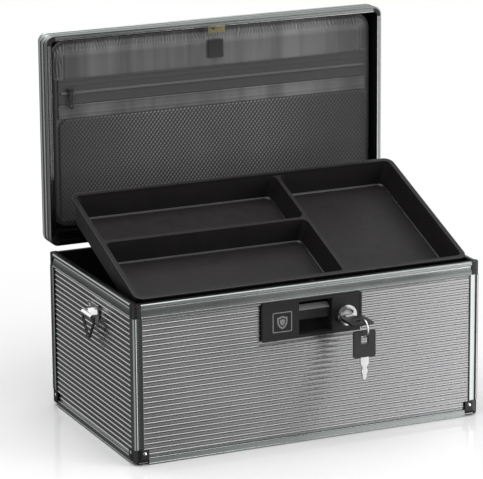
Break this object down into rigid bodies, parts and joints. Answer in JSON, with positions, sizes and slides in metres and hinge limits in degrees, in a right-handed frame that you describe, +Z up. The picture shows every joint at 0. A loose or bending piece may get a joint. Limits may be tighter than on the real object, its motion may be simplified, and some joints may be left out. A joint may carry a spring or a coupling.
{
  "type": "lockable storage box",
  "caption": "Lockable ribbed-aluminium storage box with a lift-up compartment tray, zipped mesh pocket in the open lid, key lock with pull lever, and strap rings on both sides.",
  "frame": {"origin": "centre of the flat underside of the base, where the box stands", "axes": "+X to the right seen from the lock side, +Y from the lock side to the hinge side, +Z up"},
  "size_m": [0.3768, 0.2896, 0.3687],
  "materials": {
    "ribbed_sheet": "rolled aluminium sheet with fine horizontal ribs, gunmetal grey, satin",
    "frame_metal": "anodised extrusion, satin",
    "corner_plastic": "moulded black plastic, semi-matt",
    "liner_plastic": "black moulded lining",
    "tray_plastic": "black moulded tray with a fine leather-like texture",
    "lock_plastic": "black moulded lock housing, satin",
    "chrome": "bright plating",
    "steel": "zinc-plated steel",
    "key_head": "black plastic head on a nickel-plated blade",
    "ring_enamel": "black enamelled wire",
    "handle_plastic": "black moulded grip",
    "brass": "dull brass plating",
    "lining_fabric": "dark grey satin lining",
    "mesh_fabric": "dark grey polyester mesh",
    "zipper": "woven tape with a nylon coil",
    "webbing": "black ribbed webbing"
  },
  "bodies": {
    "base": {"front_panel": "ribbed_sheet", "back_panel": "ribbed_sheet", "left_panel": "ribbed_sheet", "right_panel": "ribbed_sheet", "bottom_board": "ribbed_sheet", "base_liner": "liner_plastic", "top_rim_front": "frame_metal", "top_rim_back": "frame_metal", "top_rim_left": "frame_metal", "top_rim_right": "frame_metal", "bottom_edge_front": "frame_metal", "bottom_edge_back": "frame_metal", "bottom_edge_left": "frame_metal", "bottom_edge_right": "frame_metal", "corner_post_front_left": "frame_metal", "corner_post_front_right": "frame_metal", "corner_post_back_left": "frame_metal", "corner_post_back_right": "frame_metal", "top_corner_front_left": "corner_plastic", "top_corner_front_right": "corner_plastic", "top_corner_back_left": "corner_plastic", "top_corner_back_right": "corner_plastic", "bottom_corner_front_left": "corner_plastic", "bottom_corner_front_right": "corner_plastic", "bottom_corner_back_left": "corner_plastic", "bottom_corner_back_right": "corner_plastic", "tray_ledge_left": "liner_plastic", "tray_ledge_right": "liner_plastic", "lock_plate": "lock_plastic", "lock_case": "lock_plastic", "cylinder_body": "chrome", "strap_clip_left": "chrome", "strap_clip_right": "chrome", "hinge_base_leaf_left": "steel", "hinge_base_leaf_right": "steel"},
    "lid": {"lid_frame": "frame_metal", "lid_panel": "ribbed_sheet", "lid_inner_frame": "liner_plastic", "lid_rear_strip": "frame_metal", "lid_keeper": "brass", "lid_pad": "lining_fabric", "mesh_pocket": "mesh_fabric", "zipper_chain": "zipper", "pull_tab": "webbing", "hinge_lid_leaf_left": "steel", "hinge_lid_leaf_right": "steel", "handle_bracket_left": "chrome", "handle_bracket_right": "chrome"},
    "tray": {"tray": "tray_plastic"},
    "pull_lever": {"pull_lever": "lock_plastic"},
    "latch_hook": {"latch_hook": "steel"},
    "lock_plug": {"lock_plug": "steel"},
    "inserted_key": {"inserted_key": "key_head"},
    "key_ring": {"key_ring": "chrome"},
    "spare_key": {"spare_key": "key_head"},
    "strap_ring_left": {"strap_ring_left": "ring_enamel"},
    "strap_ring_right": {"strap_ring_right": "ring_enamel"},
    "zipper_slider": {"zipper_slider": "steel"},
    "carry_handle": {"carry_handle": "handle_plastic"}
  },
  "joints": [
    {"name": "lid_hinge", "type": "hinge", "parent": "base", "child": "lid", "pos_m": [0, 0.1054, 0.1593], "axis": [1, 0, 0], "range_deg": [0, 90]},
    {"name": "tray_tilt", "type": "hinge", "parent": "base", "child": "tray", "pos_m": [0, -0.11158, 0.12921], "axis": [1, 0, 0], "range_deg": [-20.85, 0]},
    {"name": "pull_lever_hinge", "type": "hinge", "parent": "base", "child": "pull_lever", "pos_m": [0.0045, -0.09915, 0.132], "axis": [-1, 0, 0], "range_deg": [0, 25], "stiffness_Nm_per_rad": 0.05, "springref_deg": -5.73},
    {"name": "latch_slide", "type": "slide", "parent": "base", "child": "latch_hook", "axis": [1, 0, 0], "range_m": [0, 0.003]},
    {"name": "plug_turn", "type": "hinge", "parent": "base", "child": "lock_plug", "pos_m": [0.0357, -0.107, 0.1207], "axis": [0, -1, 0], "range_deg": [-90, 0]},
    {"name": "key_slide", "type": "slide", "parent": "lock_plug", "child": "inserted_key", "axis": [0, -1, 0], "range_m": [0, 0.015]},
    {"name": "key_ring_swing", "type": "hinge", "parent": "inserted_key", "child": "key_ring", "pos_m": [0.0377, -0.1445, 0.1207], "axis": [1, 0, 0], "range_deg": [-35, 15]},
    {"name": "spare_key_swing", "type": "hinge", "parent": "key_ring", "child": "spare_key", "pos_m": [0.0377, -0.1445, 0.1115], "axis": [1, 0, 0], "range_deg": [-30, 15]},
    {"name": "strap_ring_left_swing", "type": "hinge", "parent": "base", "child": "strap_ring_left", "pos_m": [-0.1854, -0.009, 0.122], "axis": [0, 1, 0], "range_deg": [-8, 95]},
    {"name": "strap_ring_right_swing", "type": "hinge", "parent": "base", "child": "strap_ring_right", "pos_m": [0.1854, -0.009, 0.122], "axis": [0, -1, 0], "range_deg": [-8, 95]},
    {"name": "zipper_slide", "type": "slide", "parent": "lid", "child": "zipper_slider", "axis": [1, 0, 0], "range_m": [0, 0.3]},
    {"name": "carry_handle_hinge", "type": "hinge", "parent": "lid", "child": "carry_handle", "pos_m": [0, 0.1327, 0.2647], "axis": [1, 0, 0], "range_deg": [0, 95]}
  ],
  "couplings": [
    {"joint": "tray_tilt", "follows": "lid_hinge", "ratio": -0.23167},
    {"joint": "latch_slide", "follows": "pull_lever_hinge", "m_per_rad": 0.006875}
  ]
}
